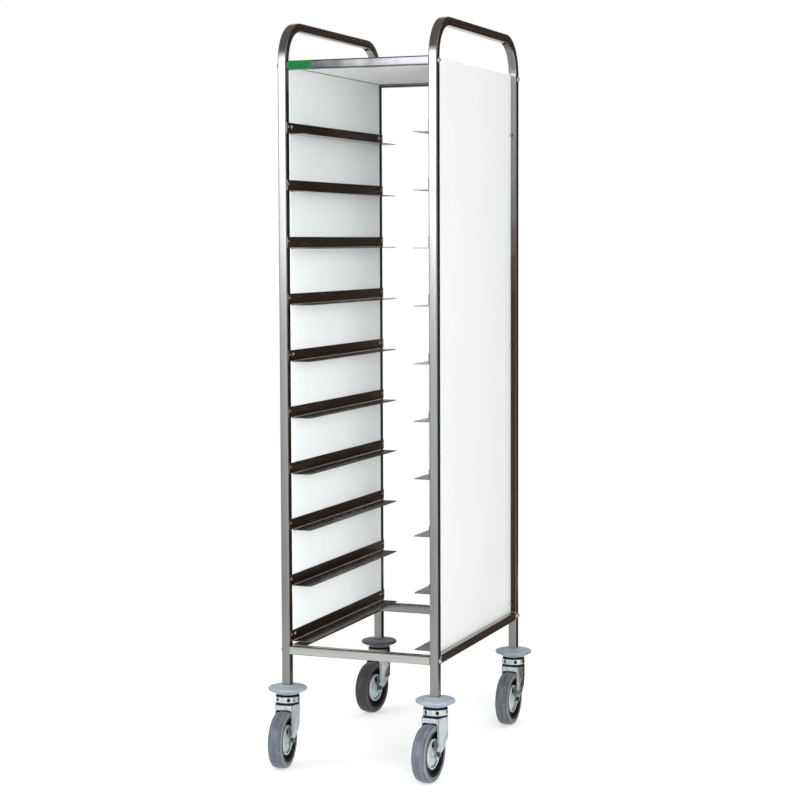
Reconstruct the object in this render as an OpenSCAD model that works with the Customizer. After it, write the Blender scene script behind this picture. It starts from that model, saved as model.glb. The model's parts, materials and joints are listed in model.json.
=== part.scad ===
// Tray trolley: two bent tube side frames bolted to cross rails, ten levels of
// sheet runners, laminate side panels and top board, four swivel casters.
// X is the width, Y runs from the open front to the back, Z is up from the floor.

/* [Frame] */
// Width over the outer faces of the two side frames
frame_w = 374; // [330:1:460]
// Depth over the outer faces of the front and rear posts
frame_d = 580; // [480:1:700]
// Side of the square tube
tube = 20; // [18:0.5:25]
// Wall of the tube
tube_wall = 1.5; // [1:0.1:2]
// Outer corner radius of the tube
tube_r = 3; // [2:0.25:4]
// Outer radius of the handle bends
handle_r = 90; // [60:1:90]
// Height of the handle bar's top above the top rails
handle_rise = 90; // [90:1:140]
// Free length of the posts between the casters and the lower rails
leg_free = 70; // [60:1:120]
// Length of the solid plug welded into each end of a cross rail
rail_plug = 18; // [17:1:30]

/* [Tray levels] */
// Height from one tray level to the next
pitch = 126; // [100:1:140]
// Gap between the lower rails and the lowest runners
low_gap = 7; // [4:1:30]
// Clear height between the highest runners and the top rails
top_gap = 141; // [100:1:200]
// Height of a runner's upright flange
flange_h = 26; // [22:1:34]
// Width of a runner's shelf
shelf_w = 44; // [30:1:60]
// Sheet thickness of the runners
sheet = 1.5; // [1:0.1:2.5]
// Outer radius of a runner's fold
fold_r = 3; // [2.5:0.25:5]
// Distance of a flange's end from the post's outer face
flange_inset = 2; // [1:0.5:5]
// Radius of the shelf's free corners
shelf_corner_r = 6; // [3:0.5:12]

/* [Panels] */
// Thickness of the side panels
side_t = 6; // [4:0.5:8]
// Thickness of the top board
board_t = 12; // [10:1:18]
// Distance of the side panels' top edge below the top rails' top
side_drop = 1; // [0:0.5:10]
// Width of the blank label plate
label_w = 54; // [30:1:90]
// Height of the blank label plate
label_h = 18; // [10:0.5:18]
// Thickness of the blank label plate
label_t = 0.8; // [0.5:0.1:2]
// Distance of the label plate from the left post
label_gap = 7; // [3:1:40]

/* [Fasteners] */
// Diameter of the frame bolts
bolt_d = 6; // [5:0.5:8]
// Diameter of a frame bolt's domed head
bolt_head_d = 13; // [10:0.5:15]
// Height of a frame bolt's domed head
bolt_head_h = 5; // [3:0.5:6]
// Length of a frame bolt's thread in its rail plug
bolt_grip = 14; // [10:1:15]
// Diameter of the panel screws
screw_d = 4; // [3:0.5:5]
// Diameter of a panel screw's head
screw_head_d = 9; // [7:0.5:10]
// Height of a panel screw's head
screw_head_h = 2.4; // [1.5:0.1:3]
// Width across the flats of a panel screw's cap nut
nut_af = 7; // [6:0.5:9]
// Distance of the panel screws from the posts
screw_inset = 8; // [7:0.5:40]
// Diameter of the runner rivets
rivet_d = 4; // [3:0.2:5]
// Diameter of a runner rivet's head
rivet_head_d = 6.5; // [6:0.5:8]
// Height of a runner rivet's head
rivet_head_h = 1.2; // [0.8:0.1:2]
// Diameter of the dowels that carry the top board
dowel_d = 6; // [5:0.5:6]
// Depth of a dowel in the top board
dowel_depth = 20; // [12:1:30]
// Distance of the dowels from the side panels
dowel_inset = 60; // [40:1:100]

/* [Casters] */
// Diameter of the wheels
wheel_d = 125; // [100:1:140]
// Width of the tyres
tyre_w = 32; // [27:0.5:36]
// Radius of the tyre's shoulders
tyre_round = 6; // [4:0.5:9]
// Rise of the tread's middle over its shoulders
tread_rise = 1; // [0.5:0.1:2]
// Depth of the tyre from its tread to its seat on the hub
tyre_depth = 20.5; // [18:0.5:24]
// Distance of the pressed hub disc's edge from the tyre's seat
disc_inset = 9; // [7:0.5:12]
// Distance from the swivel axis to the wheel's axle
trail = 38; // [25:1:45]
// Diameter of the axle bolts
axle_d = 8; // [6:0.5:10]
// Sheet thickness of the forks
fork_t = 3; // [2:0.25:4]
// Gap between a fork leg and the tyre
fork_gap = 2.5; // [1.5:0.25:5]
// Gap between the wheel and the fork's crown plate
crown_gap = 10; // [6:0.5:16]
// Gap between the wheel and the lip folded down at the front of the crown
lip_gap = 2.5; // [1.5:0.5:4]
// Length of the crown ahead of the swivel axis
crown_front = 31; // [28:1:34]
// Radius of the crown's round back
crown_back = 27.5; // [26:0.5:32]
// Radius of the bends at the crown's front corners
crown_bend = 6; // [5:0.5:9]
// Depth of the skirt round the crown's back
skirt = 26; // [14:1:28]
// Radius of the round end of the fork's legs
leg_end_r = 11; // [10:0.5:13]
// Height of the dark race between the fork and the swivel ring
race_h = 4; // [3:0.5:6]
// Diameter of the swivel ring
ring_d = 55; // [48:1:60]
// Distance of the dark race's edge from the swivel ring's edge
race_inset = 1.5; // [1.5:0.5:8]
// Number of dimples pressed into the swivel ring
dimples = 6; // [4:1:8]
// Radius of the ball that presses a dimple
dimple_r = 5; // [3:0.5:7]
// Height of the swivel ring
ring_h = 15.5; // [12:0.5:20]
// Height of the dark washer between the swivel ring and the bumper
washer_h = 2.5; // [1.5:0.5:5]
// Distance of the dark washer's edge from the swivel ring's edge
washer_inset = 4.5; // [4:0.5:8]
// Diameter of the kingpin
kingpin_d = 12; // [10:0.5:16]
// Diameter of the bumper discs
bumper_d = 88; // [70:1:110]
// Height of the bumper discs
bumper_h = 20; // [16:1:28]
// Thickness of a bumper's rim
bumper_rim = 8; // [5:0.5:10]
// Diameter of the stem in a post's foot
stem_d = 12; // [10:0.5:14]
// Length of the stem in a post's foot
stem_l = 55; // [40:1:58]
// Turn of the front left caster away from straight ahead, in degrees
turn_front_left = 6; // [-15:0.5:15]
// Turn of the front right caster away from straight ahead, in degrees
turn_front_right = -3.5; // [-15:0.5:15]
// Turn of the rear left caster away from straight ahead, in degrees
turn_rear_left = -7; // [-15:0.5:15]
// Turn of the rear right caster away from straight ahead, in degrees
turn_rear_right = 0; // [-15:0.5:15]

/* [Clearances] */
// Radial clearance of a shaft that turns in its hole
run_fit = 0.05; // [0.01:0.01:0.1]
// Radial clearance of a fixed bolt, screw or rivet in its hole
hole_fit = 0.2; // [0.05:0.05:0.5]
// Gap between parts that turn past each other
turn_gap = 0.3; // [0.2:0.05:0.6]
// Gap round a fixed part that is slid into place
slide_fit = 0.1; // [0.05:0.05:0.3]

/* [Hidden] */
// The sides are -1 for left and 1 for right, the ends -1 for front and 1 for rear
levels = 10;
corners = [
    ["front_left", -1, -1, turn_front_left],
    ["front_right", 1, -1, turn_front_right],
    ["rear_left", -1, 1, turn_rear_left],
    ["rear_right", 1, 1, turn_rear_right]
];
corner_parts = ["bumper", "swivel_head", "fork", "axle", "tyre", "hub"];
function runner_name(hand, level) = str(hand, "_runner_", level < 10 ? "0" : "", level);
$fn = 48;
eps = 0.01;

// Caster heights, from the floor up
wheel_r = wheel_d / 2;
seat_r = wheel_r - tyre_depth;
crown_low = wheel_d + crown_gap;
crown_top = crown_low + fork_t;
ring_low = crown_top + race_h;
ring_top = ring_low + ring_h;
washer_top = ring_top + washer_h;
foot = washer_top + bumper_h;

// Frame heights
rail_low = foot + leg_free;
rail_top = rail_low + tube;
lowest_level = rail_top + low_gap;
highest_level = lowest_level + (levels - 1) * pitch;
top_rail_low = highest_level + top_gap;
frame_top = top_rail_low + tube;
bend_z = frame_top + handle_rise - handle_r;

// Frame places; the whole stands centred over the floor area that it covers
inner_x = frame_w / 2 - tube;
post_x = frame_w / 2 - tube / 2;
function wheel_half(turn) =
    max([for (p = tyre_side()) p[0] * cos(turn) + p[1] * abs(sin(turn))]);
function reach(turn, way) = max(bumper_d / 2, wheel_half(turn) + way * trail * cos(turn)) - tube / 2;
front_reach = max(reach(turn_front_left, 1), reach(turn_front_right, 1));
rear_reach = max(reach(turn_rear_left, -1), reach(turn_rear_right, -1));
front_y = (front_reach - rear_reach - frame_d) / 2;
rear_y = front_y + frame_d;
middle_y = (front_y + rear_y) / 2;
inner_d = frame_d - 2 * tube;
inner_tube = tube - 2 * tube_wall;

// Runner, fork, swivel and hub sizes that follow from the driving ones
flange_l = frame_d - 2 * flange_inset;
flange_mid = flange_h - 9.5;
fork_in = tyre_w / 2 + fork_gap;
fork_out = fork_in + fork_t;
hub_half = fork_in - turn_gap;
disc_r = seat_r - disc_inset;
race_r = ring_d / 2 - race_inset;
washer_r = ring_d / 2 - washer_inset;

function level_z(level) = highest_level - (level - 1) * pitch;
function end_y(end) = end < 0 ? front_y : rear_y;
function post_y(end) = end_y(end) - end * tube / 2;
function on_circle(cx, cy, r, angle) = [cx + r * cos(angle), cy + r * sin(angle)];
function arc(cx, cy, r, from, to, steps) =
    [for (k = [0:steps]) on_circle(cx, cy, r, from + (to - from) * k / steps)];

colour_steel = [0.70, 0.70, 0.71];
colour_runner = [0.45, 0.44, 0.43];
colour_panel = [0.95, 0.96, 0.95];
colour_zinc = [0.80, 0.86, 0.88];
colour_tyre = [0.58, 0.59, 0.63];
colour_bumper = [0.72, 0.77, 0.81];
colour_dark = [0.10, 0.10, 0.11];
colour_label = [0.00, 0.45, 0.18];

// Square with rounded corners, round the origin
module rounded_square(side, r) {
    polygon(concat(
        arc(side / 2 - r, side / 2 - r, r, 0, 90, 6),
        arc(r - side / 2, side / 2 - r, r, 90, 180, 6),
        arc(r - side / 2, r - side / 2, r, 180, 270, 6),
        arc(side / 2 - r, r - side / 2, r, 270, 360, 6)
    ));
}

module tube_section() {
    difference() {
        rounded_square(tube, tube_r);
        rounded_square(inner_tube, tube_r - tube_wall / 2);
    }
}

// Cylinder along X from x = from to x = to
module rod_x(r, from, to) {
    translate([from, 0, 0]) rotate([0, 90, 0]) cylinder(h = to - from, r = r);
}

// Cylinder along Y from y = from to y = to
module rod_y(r, from, to) {
    translate([0, from, 0]) rotate([-90, 0, 0]) cylinder(h = to - from, r = r);
}

// Turned outline of a low dome from its rim to its tip, as radius and height
function dome(d, h, steps = 8) = let (ball_r = (d * d / 4 + h * h) / (2 * h))
    arc(0, h - ball_r, ball_r, 90 - asin(d / 2 / ball_r), 90, steps);
function moved(points, z) = [for (p = points) [p[0], p[1] + z]];
function upside_down(points, z) = [for (k = [len(points) - 1:-1:0]) [points[k][0], z - points[k][1]]];

// Body turned round the X axis from radii and places along it
module turned_x(points) {
    rotate([0, 90, 0]) rotate_extrude() polygon(points);
}

module hoop_bend(start) {
    rotate([90, 0, 90]) rotate([0, 0, start]) rotate_extrude(angle = 90)
        translate([handle_r - tube / 2, 0]) tube_section();
}

// One side frame: front post, handle bar and rear post bent from a single tube
module hoop(side) {
    color(colour_steel) difference() {
        translate([side * post_x, 0, 0]) union() {
            for (end = [-1, 1])
                translate([0, post_y(end), foot]) linear_extrude(bend_z - foot) tube_section();
            translate([0, front_y + handle_r, bend_z]) hoop_bend(90);
            translate([0, rear_y - handle_r, bend_z]) hoop_bend(0);
            translate([0, front_y + handle_r, bend_z + handle_r - tube / 2])
                rotate([-90, 0, 0]) linear_extrude(frame_d - 2 * handle_r) tube_section();
        }
        for (end = [-1, 1], z = [rail_low, top_rail_low])
            translate([side * post_x, post_y(end), z + tube / 2])
                rod_x(bolt_d / 2 + hole_fit, -tube, tube);
        for (end = [-1, 1], level = [1:levels])
            translate([side * inner_x, post_y(end), level_z(level) + flange_mid])
                rod_x(rivet_d / 2 + hole_fit, -tube / 2, tube / 2);
    }
}

// Lower rail of a side frame, welded between the posts
module bottom_rail(side) {
    color(colour_steel)
        translate([side * post_x, front_y + tube, rail_low + tube / 2])
            rotate([-90, 0, 0]) linear_extrude(inner_d) tube_section();
}

// Rail across the trolley with a threaded plug in each end
module cross_rail(end, z, dowelled) {
    color(colour_steel) translate([0, post_y(end), z + tube / 2]) difference() {
        union() {
            rotate([0, 90, 0]) linear_extrude(2 * inner_x, center = true) tube_section();
            for (side = [-1, 1])
                translate([side * (inner_x - rail_plug / 2), 0, 0])
                    cube([rail_plug, inner_tube + eps, inner_tube + eps], center = true);
        }
        for (side = [-1, 1])
            rod_x(bolt_d / 2 + hole_fit, min(side * inner_x, side * (inner_x - bolt_grip - 2)),
                max(side * inner_x, side * (inner_x - bolt_grip - 2)));
        if (dowelled)
            for (side = [-1, 1])
                translate([side * (inner_x - dowel_inset), 0, board_mid - z - tube / 2])
                    rod_y(dowel_d / 2 + hole_fit, min(0, -end * tube), max(0, -end * tube));
    }
}
board_mid = frame_top - board_t / 2;

module top_board() {
    color(colour_panel) difference() {
        translate([slide_fit - inner_x, front_y + tube, frame_top - board_t])
            cube([2 * (inner_x - slide_fit), inner_d, board_t]);
        for (side = [-1, 1], end = [-1, 1])
            translate([side * (inner_x - dowel_inset), end_y(end) - end * tube, board_mid])
                rod_y(dowel_d / 2 + hole_fit, -dowel_depth - 1, dowel_depth + 1);
    }
}

// Dowel pins between the upper cross rails and the top board
module board_dowels() {
    color(colour_zinc)
        for (side = [-1, 1], end = [-1, 1])
            translate([side * (inner_x - dowel_inset), end_y(end) - end * tube, board_mid])
                rod_y(dowel_d / 2, min(end * tube_wall * 2, -end * dowel_depth),
                    max(end * tube_wall * 2, -end * dowel_depth));
}

// The runners at the top, in the middle and at the bottom also hold the side panel
screwed_levels = [1, 5, 10];
function screw_y(end) = end_y(end) - end * (tube + screw_inset);

module side_panel(side) {
    color(colour_panel) difference() {
        translate([side * (inner_x + side_t / 2), middle_y, (rail_top + frame_top - side_drop) / 2])
            cube([side_t, inner_d, frame_top - side_drop - rail_top], center = true);
        for (end = [-1, 1], level = screwed_levels)
            translate([side * inner_x, screw_y(end), level_z(level) + flange_mid])
                rod_x(screw_d / 2 + hole_fit, -side_t * 2, side_t * 2);
    }
}

// Blank plate at the left of the front upper rail
module label_plate() {
    color(colour_label)
        translate([label_gap - inner_x, front_y - label_t, frame_top - tube / 2 - label_h / 2])
            cube([label_w, label_t, label_h]);
}

// Section of a runner in X and Z, as seen from the front, for the right-hand side
module runner_section(shelf) {
    polygon(concat(
        [[inner_x, flange_h], [inner_x - sheet, flange_h]],
        arc(inner_x - fold_r, fold_r, fold_r - sheet, 0, -90, 6),
        [[inner_x - shelf, sheet], [inner_x - shelf, 0]],
        arc(inner_x - fold_r, fold_r, fold_r, -90, 0, 6)
    ));
}

module runner(side, level) {
    screwed = len([for (l = screwed_levels) if (l == level) l]) > 0;
    color(colour_runner) mirror([side < 0 ? 1 : 0, 0, 0]) translate([0, 0, level_z(level)])
        difference() {
            union() {
                translate([0, rear_y - tube, 0]) rotate([90, 0, 0])
                    linear_extrude(inner_d) runner_section(shelf_w);
                translate([inner_x - sheet, front_y + flange_inset, fold_r])
                    cube([sheet, flange_l, flange_h - fold_r]);
            }
            for (end = [-1, 1]) {
                translate([inner_x - shelf_w, end_y(end) - end * tube, sheet / 2])
                    shelf_corner_cut(end);
                translate([inner_x, post_y(end), flange_mid])
                    rod_x(rivet_d / 2 + hole_fit, -2 * sheet, 2 * sheet);
                if (screwed)
                    translate([inner_x, screw_y(end), flange_mid])
                        rod_x(screw_d / 2 + hole_fit, -2 * sheet, 2 * sheet);
            }
        }
}

// Takes the sharp corner off the shelf's free end
module shelf_corner_cut(end) {
    r = shelf_corner_r;
    linear_extrude(2 * sheet, center = true) difference() {
        translate([-1, min(1, -end * r) - (end < 0 ? 1 : 0)]) square([1 + r, r + 1]);
        translate([r, -end * r]) circle(r);
    }
}

module frame_bolts() {
    color(colour_zinc)
        for (side = [-1, 1], end = [-1, 1], z = [rail_low, top_rail_low])
            translate([0, post_y(end), z + tube / 2]) mirror([side < 0 ? 1 : 0, 0, 0]) {
                turned_x(concat(
                    [[0, inner_x - bolt_grip], [bolt_d / 2, inner_x - bolt_grip]],
                    [[bolt_d / 2, frame_w / 2]],
                    moved(dome(bolt_head_d, bolt_head_h), frame_w / 2)
                ));
            }
}

module panel_screws() {
    color(colour_zinc)
        for (side = [-1, 1], end = [-1, 1], level = screwed_levels)
            translate([0, screw_y(end), level_z(level) + flange_mid])
                mirror([side < 0 ? 1 : 0, 0, 0]) translate([inner_x, 0, 0]) {
                    turned_x(concat(
                        upside_down(dome(screw_head_d, screw_head_h), -sheet),
                        [[screw_d / 2, -sheet], [screw_d / 2, side_t + eps]],
                        moved(dome(nut_af * 0.9, nut_af * 0.3), side_t + nut_af * 0.4)
                    ));
                    translate([side_t, 0, 0]) rotate([0, 90, 0])
                        cylinder(h = nut_af * 0.4, d = nut_af / cos(30), $fn = 6);
                }
}

// Blind rivets through the flange's ends into the posts
module runner_rivets() {
    color(colour_zinc)
        for (side = [-1, 1], end = [-1, 1], level = [1:levels])
            translate([0, post_y(end), level_z(level) + flange_mid])
                mirror([side < 0 ? 1 : 0, 0, 0]) translate([inner_x, 0, 0])
                    turned_x(concat(
                        upside_down(dome(rivet_head_d, rivet_head_h, 4), -sheet),
                        [[rivet_d / 2, -sheet], [rivet_d / 2, tube_wall]],
                        moved(dome(rivet_d * 1.4, rivet_d / 2, 3), tube_wall)
                    ));
}

module at_post(corner) {
    translate([corner[1] * post_x, post_y(corner[2]), 0]) children();
}

module at_corner(corner) {
    at_post(corner) rotate([0, 0, corner[3]]) children();
}

module at_axle(corner) {
    at_corner(corner) translate([0, -trail, wheel_r]) children();
}

// Soft disc that keeps the posts off walls and door frames
module bumper(corner) {
    rim_r = bumper_rim / 2;
    rim_z = bumper_h * 0.58;
    hub_r = tube * 0.75;
    color(colour_bumper) at_post(corner) translate([0, 0, washer_top]) rotate_extrude()
        polygon(concat(
            [[stem_d / 2 + hole_fit, 0], [washer_r + 2, 0]],
            arc(bumper_d / 2 - rim_r, rim_z, rim_r, -70, 80, 8),
            [[hub_r + 2, bumper_h - 1.5], [hub_r, bumper_h], [stem_d / 2 + hole_fit, bumper_h]]
        ));
}

// Fixed half of the swivel with its kingpin below and its stem and sleeve above
module swivel_head(corner) {
    ring_r = ring_d / 2;
    pin_end = crown_low - turn_gap;
    sleeve = inner_tube - 2 * slide_fit;
    color(colour_zinc) at_post(corner) {
        difference() {
            rotate_extrude() polygon(concat(
                [[0, pin_end - 3], [kingpin_d / 2 + 2, pin_end - 3], [kingpin_d / 2 + 2, pin_end]],
                [[kingpin_d / 2, pin_end], [kingpin_d / 2, crown_top + turn_gap]],
                [[race_r, crown_top + turn_gap], [race_r, ring_low]],
                arc(ring_r - 1, ring_low + 1, 1, -90, 0, 3),
                arc(ring_r - 4, ring_top - 4, 4, 0, 90, 6),
                [[washer_r, ring_top], [washer_r, washer_top], [stem_d / 2, washer_top]],
                [[stem_d / 2, foot + stem_l + 5], [0, foot + stem_l + 5]]
            ));
            for (k = [1:dimples])
                rotate([0, 0, 360 * k / dimples - 62])
                    translate([ring_r + dimple_r * 0.5, 0, ring_low + ring_h * 0.45])
                        sphere(r = dimple_r);
        }
        translate([0, 0, foot]) difference() {
            linear_extrude(stem_l) rounded_square(sleeve, tube_r - tube_wall / 2);
            translate([0, 0, -1]) cylinder(h = stem_l + 2, r = stem_d / 2 + hole_fit);
        }
    }
}

// Curve from p to q that heads for c on its way
function curve(p, c, q, steps) =
    [for (k = [0:steps]) let (t = k / steps) (1 - t) * (1 - t) * p + 2 * t * (1 - t) * c + t * t * q];
function mirrored(points) = [for (k = [len(points) - 1:-1:0]) [-points[k][0], points[k][1]]];

// Fork from above, drawn in by d: flat front, bent front corners, round back
module fork_plan(d) {
    bend_x = fork_out - crown_bend;
    bend_y = crown_bend - crown_front;
    out = atan2(bend_y, bend_x) + acos((crown_back - crown_bend) / norm([bend_x, bend_y]));
    right = concat(
        arc(bend_x, bend_y, crown_bend - d, -90, out, 6),
        arc(0, 0, crown_back - d, out, 90, 16)
    );
    polygon(concat(right, mirrored(right)));
}

// Fork from the front, drawn in by d: legs that flare out to the round crown
module fork_front(d) {
    right = concat(
        [[fork_out - d, 0]],
        curve([fork_out - d, wheel_r + 14], [fork_out - d, wheel_r + 34], [crown_back - d, crown_low - 20], 8),
        [[crown_back - d, crown_top + 1]]
    );
    polygon(concat(right, mirrored(right)));
}

// Fork from the side in Y and Z: straight front, round leg end, curve up to the back skirt
module fork_side() {
    tip = arc(-trail, wheel_r, leg_end_r, 160, 340, 12);
    front_end = [-crown_front, wheel_r + 24];
    skirt_end = [crown_back + 1, crown_top - skirt];
    polygon(concat(
        [[-crown_front, crown_top]],
        curve(front_end, [-crown_front - 1, wheel_r + 10], tip[0], 6),
        [for (k = [1:11]) tip[k]],
        curve(tip[12], [crown_back - 9, wheel_r + 6], skirt_end, 10),
        [[crown_back + 1, crown_top]]
    ));
}

// Opening at the front between the legs, with round upper corners
module fork_window() {
    half = fork_in - 0.5;
    top = wheel_d + lip_gap;
    polygon(concat(
        [[-half, 0], [half, 0]],
        arc(half - 5, top - 5, 5, 0, 90, 5),
        arc(5 - half, top - 5, 5, 90, 180, 5)
    ));
}

module along_y(from, to) {
    translate([0, to, 0]) rotate([90, 0, 0]) linear_extrude(to - from) children();
}

module along_x(half) {
    rotate([90, 0, 90]) linear_extrude(2 * half, center = true) children();
}

// Pressed fork: crown plate, skirt round the back, lip at the front and two legs
module fork(corner) {
    color(colour_zinc) at_corner(corner) difference() {
        union() {
            intersection() {
                linear_extrude(crown_top) fork_plan(0);
                along_y(-trail - wheel_r, wheel_r) fork_front(0);
                along_x(wheel_r) fork_side();
            }
            intersection() {
                translate([-fork_out, -trail - wheel_r, 0]) cube([2 * fork_out, trail + wheel_r, wheel_r + 18]);
                along_x(wheel_r) fork_side();
            }
        }
        intersection() {
            linear_extrude(crown_low) fork_plan(fork_t);
            along_y(-trail - wheel_r, wheel_r) fork_front(fork_t);
        }
        along_y(-trail - wheel_r, 0) fork_window();
        translate([-fork_in, -trail - wheel_r, 0]) cube([2 * fork_in, trail + wheel_r, wheel_r + 18.5]);
        translate([0, 0, crown_low - 1]) cylinder(h = fork_t + 2, r = kingpin_d / 2 + run_fit);
        translate([0, -trail, wheel_r]) rod_x(axle_d / 2 + hole_fit, -fork_out - 1, fork_out + 1);
    }
}

module axle(corner) {
    head_h = axle_d * 0.55;
    color(colour_zinc) at_axle(corner) {
        rod_x(axle_d / 2, -fork_out - eps, fork_out + head_h + 2);
        translate([fork_out, 0, 0]) rotate([0, 90, 0])
            cylinder(h = head_h, d = axle_d * 1.6, $fn = 6);
        translate([-fork_out - head_h, 0, 0]) rotate([0, 90, 0])
            cylinder(h = head_h, d = axle_d * 1.6, $fn = 6);
    }
}

// Section of the tyre's right half as radius and place along the axle
function tyre_side() = let (half = tyre_w / 2, shoulder_r = wheel_r - tread_rise - tyre_round) concat(
    [[seat_r, half - 5], [seat_r, half - 3], [seat_r + 1.5, half - 1.5], [shoulder_r - 3, half - 0.3]],
    arc(shoulder_r, half - tyre_round, tyre_round, 90, 10, 8),
    [[wheel_r - 0.3, (half - tyre_round) / 2], [wheel_r, 1]]
);

// Solid rubber tyre with a low crown, round shoulders and a stepped sidewall, along X
module tyre(corner) {
    right = tyre_side();
    left = [for (k = [len(right) - 1:-1:0]) [right[k][0], -right[k][1]]];
    color(colour_tyre) at_axle(corner) rotate([0, 90, 0]) rotate_extrude($fn = 96)
        polygon(concat(right, left));
}

// Wheel body with its pressed disc and bearing tube
module hub(corner) {
    bore = axle_d / 2 + run_fit;
    boss_r = axle_d * 0.95;
    rim = seat_r - hole_fit / 2;
    half = tyre_w / 2;
    color(colour_zinc) at_axle(corner) rotate([0, 90, 0]) rotate_extrude($fn = 96)
        polygon([
            [bore, -hub_half], [boss_r, -hub_half], [boss_r, 3 - half],
            [boss_r + 3, 5 - half], [disc_r - 5, 7 - half], [disc_r - 4, 4 - half],
            [disc_r - 2, 3 - half], [disc_r, 4 - half], [disc_r, 8 - half],
            [rim, 8 - half], [rim, half - 8],
            [disc_r, half - 8], [disc_r, half - 4], [disc_r - 2, half - 3],
            [disc_r - 4, half - 4], [disc_r - 5, half - 7], [boss_r + 3, half - 5],
            [boss_r, half - 3], [boss_r, hub_half], [bore, hub_half]
        ]);
}

hoop(-1);  // left_hoop
hoop(1);  // right_hoop
bottom_rail(-1);  // left_bottom_rail
bottom_rail(1);  // right_bottom_rail
cross_rail(-1, top_rail_low, true);  // front_top_rail
cross_rail(1, top_rail_low, true);  // rear_top_rail
cross_rail(-1, rail_low, false);  // front_bottom_rail
cross_rail(1, rail_low, false);  // rear_bottom_rail
top_board();
side_panel(-1);  // left_panel
side_panel(1);  // right_panel
label_plate();
frame_bolts();
panel_screws();
runner_rivets();
board_dowels();
for (level = [1:levels]) {
    runner(-1, level);
    runner(1, level);
}
for (corner = corners) {
    bumper(corner);
    swivel_head(corner);
    fork(corner);
    axle(corner);
    tyre(corner);
    hub(corner);
}
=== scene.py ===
import json
import math

import bmesh
import bpy
from mathutils import Matrix, Vector


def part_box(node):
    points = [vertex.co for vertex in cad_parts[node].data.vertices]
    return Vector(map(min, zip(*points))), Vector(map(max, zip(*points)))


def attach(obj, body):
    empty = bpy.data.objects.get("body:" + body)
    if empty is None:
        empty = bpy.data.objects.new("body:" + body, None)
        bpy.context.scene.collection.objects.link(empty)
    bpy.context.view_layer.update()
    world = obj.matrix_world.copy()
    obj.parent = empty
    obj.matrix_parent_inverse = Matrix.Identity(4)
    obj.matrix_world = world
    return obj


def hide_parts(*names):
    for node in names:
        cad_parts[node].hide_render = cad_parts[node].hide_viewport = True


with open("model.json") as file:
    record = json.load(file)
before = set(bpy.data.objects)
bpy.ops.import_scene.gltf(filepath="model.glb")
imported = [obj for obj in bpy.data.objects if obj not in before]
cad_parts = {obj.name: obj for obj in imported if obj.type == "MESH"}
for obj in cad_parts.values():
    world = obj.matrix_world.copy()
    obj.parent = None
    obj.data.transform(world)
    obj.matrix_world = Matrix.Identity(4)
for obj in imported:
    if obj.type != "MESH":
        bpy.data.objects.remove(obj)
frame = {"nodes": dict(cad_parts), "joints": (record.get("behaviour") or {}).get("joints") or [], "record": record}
nodes = frame["nodes"]
bodyOf = {n: b for b, members in frame["record"]["behaviour"]["bodies"].items() for n in members}
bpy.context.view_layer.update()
scene = bpy.context.scene
print("stage: frame loaded,", len(nodes), "nodes")

# measures of the frame, most of them read from the nodes
lowLeft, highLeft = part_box("left_hoop")
tubeSide = 0.020
frontY, rearY = lowLeft.y, highLeft.y
middleY = (frontY + rearY) / 2
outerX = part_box("right_hoop")[1].x
postX = outerX - tubeSide / 2
innerX = outerX - tubeSide
footZ, handleZ = lowLeft.z, highLeft.z
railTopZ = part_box("front_top_rail")[1].z
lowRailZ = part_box("front_bottom_rail")[0].z
bendRadius = 0.090
bendZ = handleZ - bendRadius


# helpers for materials

def feed(tree, socket, value):
    # an input takes another node's output or a fixed value
    if isinstance(value, bpy.types.NodeSocket):
        tree.links.new(value, socket)
    else:
        socket.default_value = value


def addNode(tree, kind, inputs=None, **settings):
    node = tree.nodes.new("ShaderNode" + kind)
    for key, value in settings.items():
        setattr(node, key, value)
    for key, value in (inputs or {}).items():
        feed(tree, node.inputs[key], value)
    return node


def addRamp(tree, source, stops):
    ramp = addNode(tree, "ValToRGB", {"Fac": source})
    elements = ramp.color_ramp.elements
    while len(elements) < len(stops):
        elements.new(0.5)
    for element, (place, level) in zip(elements, stops):
        element.position = place
        element.color = (level, level, level, 1)
    return ramp.outputs["Color"]


def addRange(tree, source, fromMin, fromMax, toMin, toMax, smooth=False):
    node = addNode(tree, "MapRange", {
        "Value": source, "From Min": fromMin, "From Max": fromMax, "To Min": toMin, "To Max": toMax})
    node.interpolation_type = "SMOOTHSTEP" if smooth else "LINEAR"
    return node.outputs["Result"]


def fade(tree, source, start, end, most=1):
    # rises softly from nothing at start to most at end
    return addRange(tree, source, start, end, 0, most, True)


def addMath(tree, operation, a, b=0.0):
    return addNode(tree, "Math", {0: a, 1: b}, operation=operation).outputs["Value"]


def addNoise(tree, where, scale, detail, **more):
    inputs = {"Vector": where, "Scale": scale, "Detail": detail, **more}
    return addNode(tree, "TexNoise", inputs).outputs["Fac"]


def stretched(tree, where, factors):
    return addNode(tree, "VectorMath", {0: where, 1: factors}, operation="MULTIPLY").outputs["Vector"]


def parts(tree, vector):
    return addNode(tree, "SeparateXYZ", {"Vector": vector}).outputs


def mixColour(tree, factor, a, b):
    node = addNode(tree, "Mix", {0: factor}, data_type="RGBA")
    for key, colour in ((6, a), (7, b)):
        feed(tree, node.inputs[key], colour if isinstance(colour, bpy.types.NodeSocket) else (*colour, 1))
    return node.outputs[2]


def newGroup(name, inputs, outputs):
    # a node group with its named inputs, their defaults, and its named outputs
    group = bpy.data.node_groups.new(name, "ShaderNodeTree")
    for label, kind, default in inputs:
        socket = group.interface.new_socket(name=label, in_out="INPUT", socket_type=kind)
        if default is not None:
            socket.default_value = default
    for label, kind in outputs:
        group.interface.new_socket(name=label, in_out="OUTPUT", socket_type=kind)
    return group, group.nodes.new("NodeGroupInput").outputs, group.nodes.new("NodeGroupOutput").inputs


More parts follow.
